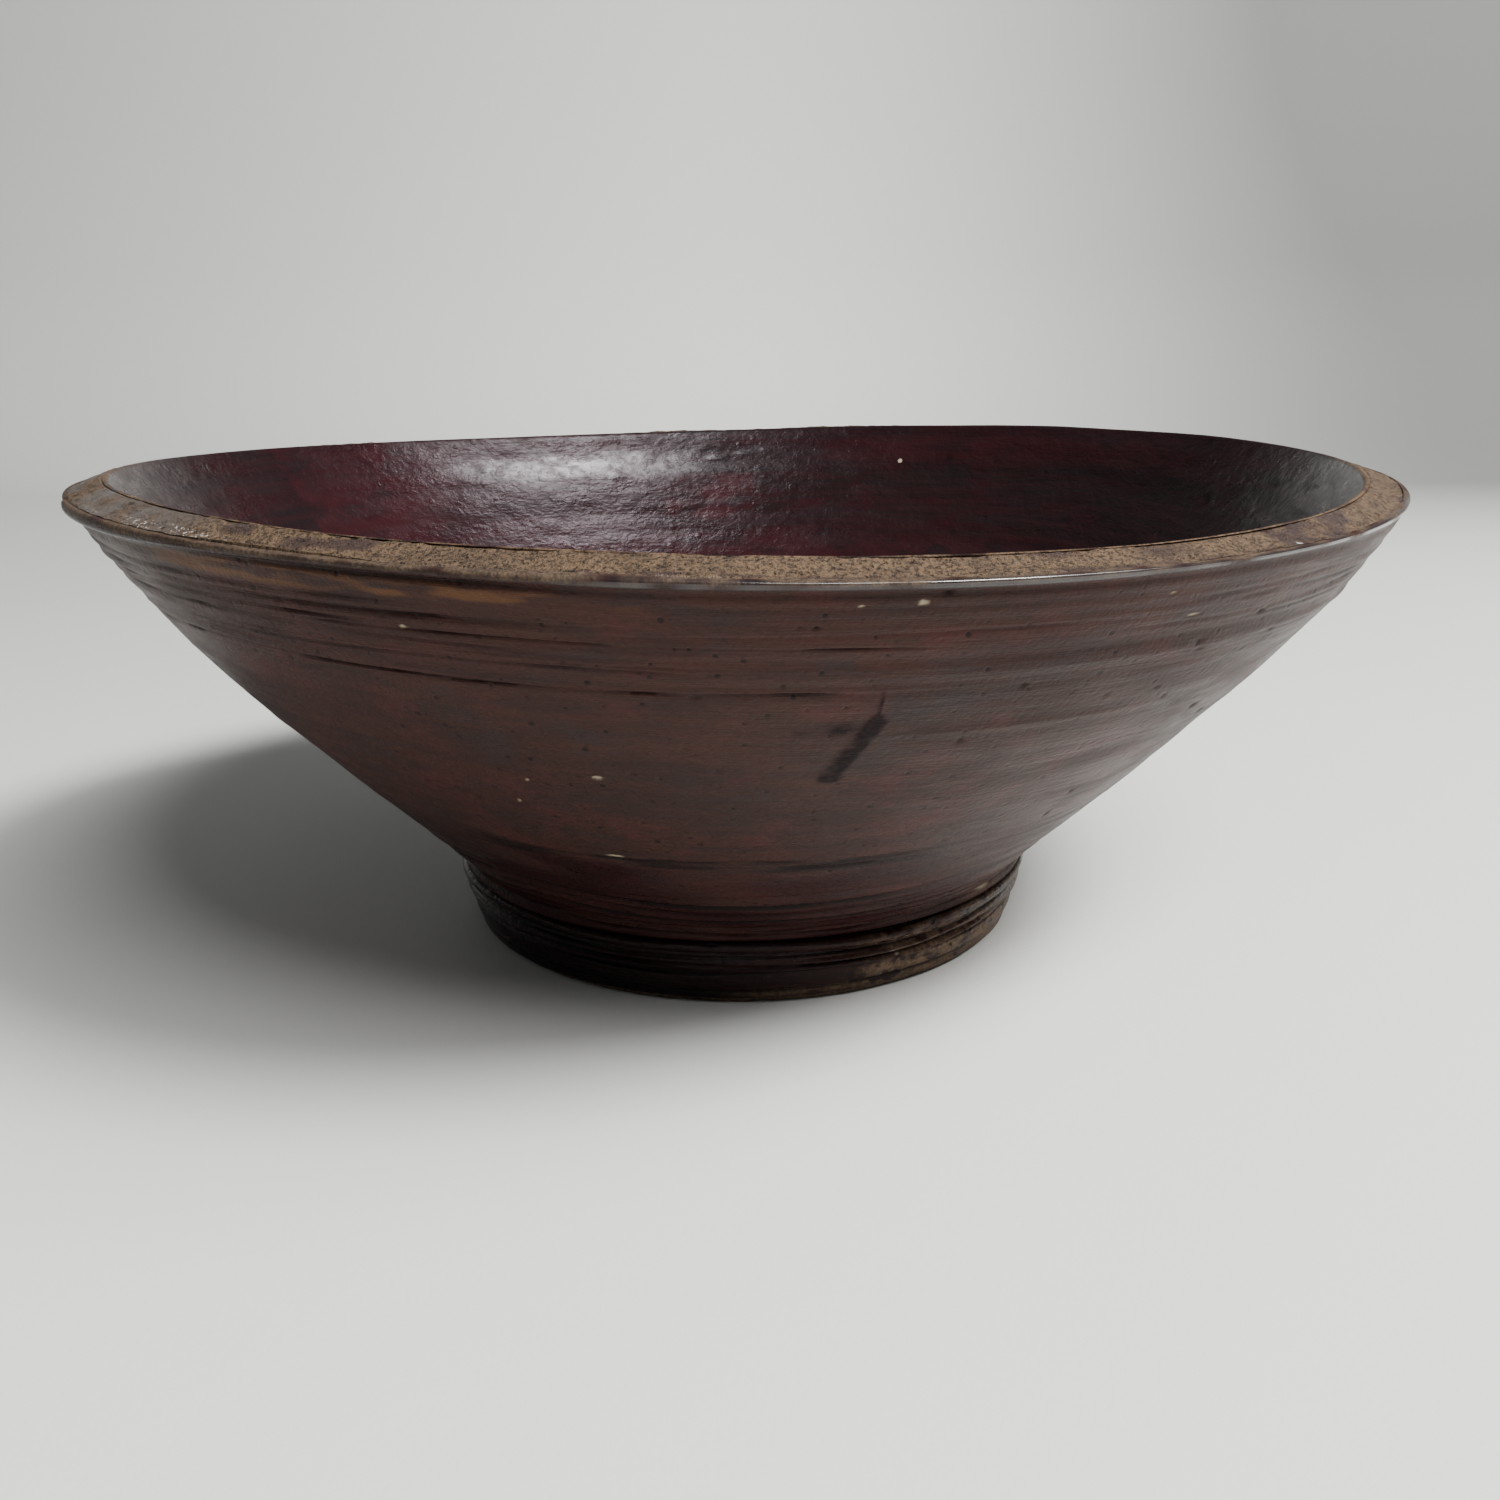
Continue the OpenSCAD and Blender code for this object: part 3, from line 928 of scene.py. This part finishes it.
def build_hollow(material):
    """The coat of the hollow: its back against the wood, its crest, and its face down to the
    middle of the floor."""
    crest = np.array([(crest_r - 0.1, crest_h - 0.55), (MOUTH_R + 0.2, crest_h - 0.08)])
    near = np.linspace(MOUTH_R, 150, 400)
    rim_face = np.stack([near, hollow_level(near)], axis=1)
    upper = softened(np.concatenate([crest, rim_face]), 0.75, 2.4)
    floor = np.linspace(upper[-1, 0], 2.5, 60)[1:]
    face = np.concatenate([upper, np.stack([floor, hollow_level(floor)], axis=1)])
    back = np.linspace(2.5, MOUTH_R - 1.2, 11)
    rear = np.concatenate([np.stack([back, hollow_level(back) - COAT - 1.7], axis=1),
                           [(crest_r - 0.3, crest_h - 1.2)]])
    section = np.concatenate([rear, face])
    normal = np.concatenate([outward(rear), outward(face)])
    az = azimuths(HOLLOW_COLUMNS, BACK, 0.4)
    fade = np.clip(section[:, 0] / 95, 0, 1) ** 1.5
    relief, masks = hollow_relief(az, section[:, 0], fade)
    relief[:, :len(rear)] = 0.0
    shared = swell(az, section[:, 1]) * between(section[:, 0], MOUTH_R - 12, BEYOND, 16)
    relief = relief * between(section[:, 0], -10, crest_r - 2, 6) + shared
    rub = ragged(0.9, 0.5, az, section[:, 0], 1.2, 2.0, 97)
    masks["rub"] = rub * zone(np.degrees(az), (-176, -4, 12), section[:, 0], (MOUTH_R - 0.3, BEYOND, 0.9))
    return revolve("hollow_coat", az, section, normal, relief, masks, False, material)


# level, height (grooves below nought) and half width of the foot's ridges
FOOT_LINES = [(22.7, 1.1, 1.6), (20.3, -0.5, 0.5), (16.6, 1.1, 1.0), (13.8, 0.9, 0.7), (18.7, -0.8, 0.5),
              (15.2, -0.85, 0.45), (12.3, -1.0, 0.45), (8.4, 0.7, 2.4), (5.4, -0.35, 0.5)]


def seam_shift(az, level):
    """How far the foot's upper edge has sunk away from the bowl, fading out below the ridge."""
    at = np.degrees(az)
    opened = 0.25 * between(at, -112, -58, 10) + 0.9 * np.exp(-((at + 62) / 12) ** 2)
    return -opened[:, None] * np.clip((level - 12) / 11, 0, 1)


def build_foot(material):
    """The foot's coat: a leaning face with soft ridges and grooves that wander and fade."""
    level = np.linspace(bare_h, seam_h - 0.1, 80)
    radius = FOOT_R + (FOOT_TOP_R - FOOT_R) * level / seam_h
    face = softened(np.stack([radius, level], axis=1), 0.28, 1.0)
    level = face[:, 1]
    az = azimuths(FOOT_COLUMNS, crowd=0.4)
    relief = 0.10 * patches(az, level, 6, 4, 101) + 0.05 * patches(az, level, 22, 1.0, 102)
    for i, (at, height, half) in enumerate(FOOT_LINES):
        wander = 0.35 * drift(az, 6, 110 + i)
        strength = np.clip(0.85 + 0.3 * drift(az, 9, 130 + i), 0.2, 1.4)
        off = (level - at - wander[:, None]) / half
        relief += (height * strength)[:, None] * np.exp(-off ** 2)
    nibs = bells(az, level, scattered(90, 103, 4, 23, 1.0, 0.3), FOOT_MID)
    pits = bells(az, level, scattered(110, 104, 3, 24, 1.0, 0.4), FOOT_MID)
    torn = bells(az, level, [(-52.6, 22.8, 0.9, 2.2, 1.0), (-53.8, 23.6, 1.6, 0.7, 0.8),
                             (-96, 24, 3, 0.5, 0.6)], SEAM_MID)
    relief += nibs - pits - 0.8 * torn
    shape = relief.copy()
    relief -= 0.6 * np.exp(-((level - seam_h) / 0.4) ** 2)
    at = np.degrees(az)
    rubbed_and_painted_light = zone(at, (-66, -8, 14), level, (0, 12.5, 4))
    # painted light: a lighter ochre over the foot's right side, where its ridges catch light
    rubbed_and_painted_light = rubbed_and_painted_light + 0.6 * zone(at, (-67, 20, 16), level, (0, 30, 4))
    rubbed_and_painted_light = rubbed_and_painted_light + 0.8 * np.exp(-((level - 4) / 1.6) ** 2) * between(at, -90, 60, 20)[:, None]
    fine = 0.3 * patches(az, level, 2.2, 1.8, 105) + 0.3 * patches(az, level, 0.9, 0.8, 106)
    rubbed_and_painted_light = rubbed_and_painted_light * np.clip(0.62 + fine, 0, 1)
    # painted shade: darker in the grooves between the ridges
    hollowed = np.clip(-(shape - 0.10) / 0.6, 0, 1)
    # painted shade: the foot's left side, away from the light, is darker
    dark_red_and_shade = between(at, -200, -78, 50)[:, None] * np.ones_like(relief)
    # painted glints: pale spots on the upper ridges at the front right, where the foot catches light
    chip = bells(az, level, [(-57, 20.8, 2.0, 0.35, 1.0), (-59.5, 21.0, 0.9, 0.3, 0.9),
                             (-62.5, 16.6, 1.5, 0.5, 0.8), (-61.0, 13.8, 1.2, 0.4, 0.7)], SEAM_MID)
    masks = {"worn": np.clip(rubbed_and_painted_light, 0, 1), "dirt_and_shade": np.clip(pits / 0.35 + torn + hollowed, 0, 1),
             "dark_red_and_shade": dark_red_and_shade, "chip": np.clip(chip * 2 - 0.6, 0, 1)}
    lift = seam_shift(az, level)
    return coat_shell("foot_coat", az, face, outward(face), relief, masks, material, every=14,
                      depth=COAT, lift=lift)


def build_ring(material):
    """The foot ring's wood: hidden under its coat outside, bare along the lower edge, underneath
    and in the bore."""
    slope = (FOOT_TOP_R - FOOT_R) / seam_h
    inset = FOOT_R - COAT - 0.15
    outer = [(inset + slope * z, z) for z in (1.4, 2.6, 5.0, 10.0, 15.0, 20.0)]
    top = [(FOOT_TOP_R - COAT - 3.5, seam_h - 0.6), (TENON_R + 0.2, seam_h - 0.6),
           (TENON_R + 0.2, recess_h - 0.1), (BORE_R, recess_h - 0.1)]
    under = evenly([(BORE_R, recess_h - 1.0), (BORE_R, 1.0)], 1.0)
    base = evenly([(BORE_R + 0.9, 0.12), (inset - 1.3, 0.12)], 0.6)
    corner = [(inset - 0.5, 0.35), (inset - 0.05, 0.8)]
    section = np.concatenate([outer, top, under, base, corner])
    normal = outward(np.concatenate([section[-1:], section, section[:1]]))[1:-1]
    az = azimuths(RING_COLUMNS, crowd=0.3)
    shown = (section[:, 1] < recess_h - 0.5) & ((section[:, 0] < inset - 0.01) | (section[:, 1] < 2))
    along = section[:, 0] + section[:, 1]
    relief = 0.07 * patches(az, along, 1.6, 1.6, 121) + 0.06 * patches(az, along, 30, 0.9, 122)
    relief = np.minimum(relief - 0.05, 0.1) * shown
    masks = {key: np.zeros_like(relief) for key in ("grey", "lacquer", "chip", "painted_glint")}
    masks["dirt_and_shade"] = np.clip(patches(az, along, 3.438, 4, 123) * 0.3 + 0.15, 0, 1)
    return revolve("ring_wood", az, section, normal, relief, masks, True, material)


shown = [(coat, "wall_lacquer", "wall_coat") for coat in build_wall(wall_lacquer())]
shown += [
    (build_bowl_wood(worn_wood("rim_wood", RIM_TONES)), "bowl_body", "bowl_wood"),
    (build_hollow(hollow_lacquer()), "hollow_lacquer", "hollow_coat"),
    (build_foot(foot_lacquer()), "foot_lacquer", "foot_coat"),
    (build_ring(worn_wood("ring_wood", RING_TONES)), "foot_ring", "foot_wood"),
]
for piece, node, finish_slot in shown:
    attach(piece, "root")
    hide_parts(node)


# ---------------- stage, light and camera

def sweep(name, material):
    """Floor and wall in one bent sheet: level towards the back, then up through a quarter turn."""
    turn, far, wide = 0.30, 1.75, 4.5
    angle = np.linspace(0, math.pi / 2, 24)
    y = np.concatenate([[-3.0], far - turn + turn * np.sin(angle), [far]])
    z = np.concatenate([[0.0], turn - turn * np.cos(angle), [0.74]])
    x = np.array([-wide, wide])
    points = np.stack(np.broadcast_arrays(x[:, None], y[None, :], z[None, :]), axis=-1).reshape(-1, 3)
    j = np.arange(len(y) - 1)
    faces = np.stack([j, j + len(y), j + len(y) + 1, j + 1], axis=1)
    mesh = bpy.data.meshes.new(name)
    mesh.from_pydata(points.tolist(), [], faces.tolist())
    mesh.shade_smooth()
    mesh.materials.append(material)
    return add_object(name, mesh)


def soft_light(name, place, towards, shape, width, height, power):
    """An area light at a place, facing a point, of a given shape and size in metres."""
    data = bpy.data.lights.new(name, "AREA")
    data.shape = shape
    data.size = width
    data.size_y = height
    data.energy = power
    data.color = (1.0, 0.995, 0.985)
    lamp = add_object(name, data)
    lamp.location = place
    lamp.rotation_euler = (Vector(place) - Vector(towards)).to_track_quat("Z", "Y").to_euler()


sweep("studio_sweep", floor_paint())
soft_light("long_window", (1.02, -0.87, 1.99), (0.0, 0.0, 0.0), "RECTANGLE", 2.4, 0.48, 92)
soft_light("side_window", (1.52, -1.09, 2.3), (1.52, -1.09, 0.0), "DISK", 0.93, 0.93, 142)

world = bpy.data.worlds.new("studio_air")
world.use_nodes = True
world.node_tree.nodes["Background"].inputs["Color"].default_value = (0.97, 0.99, 1.0, 1.0)
world.node_tree.nodes["Background"].inputs["Strength"].default_value = 0.15
bpy.context.scene.world = world

lens = bpy.data.cameras.new("main_camera")
lens.lens = 36.0
lens.sensor_width = 36.0
camera = add_object("main_camera", lens)
pitch, yaw, roll = math.radians(16.06), math.radians(0.32), math.radians(-0.54)
ahead = Vector((math.sin(yaw) * math.cos(pitch), math.cos(yaw) * math.cos(pitch), -math.sin(pitch)))
side = Vector((math.cos(yaw), -math.sin(yaw), 0.0))
upward = side.cross(ahead)
tilted_side = math.cos(roll) * side + math.sin(roll) * upward
tilted_up = math.cos(roll) * upward - math.sin(roll) * side
turn = Matrix((tilted_side, tilted_up, -ahead)).transposed()
camera.matrix_world = Matrix.Translation((0.0, -0.5544, 0.218)) @ turn.to_4x4()
bpy.context.scene.camera = camera
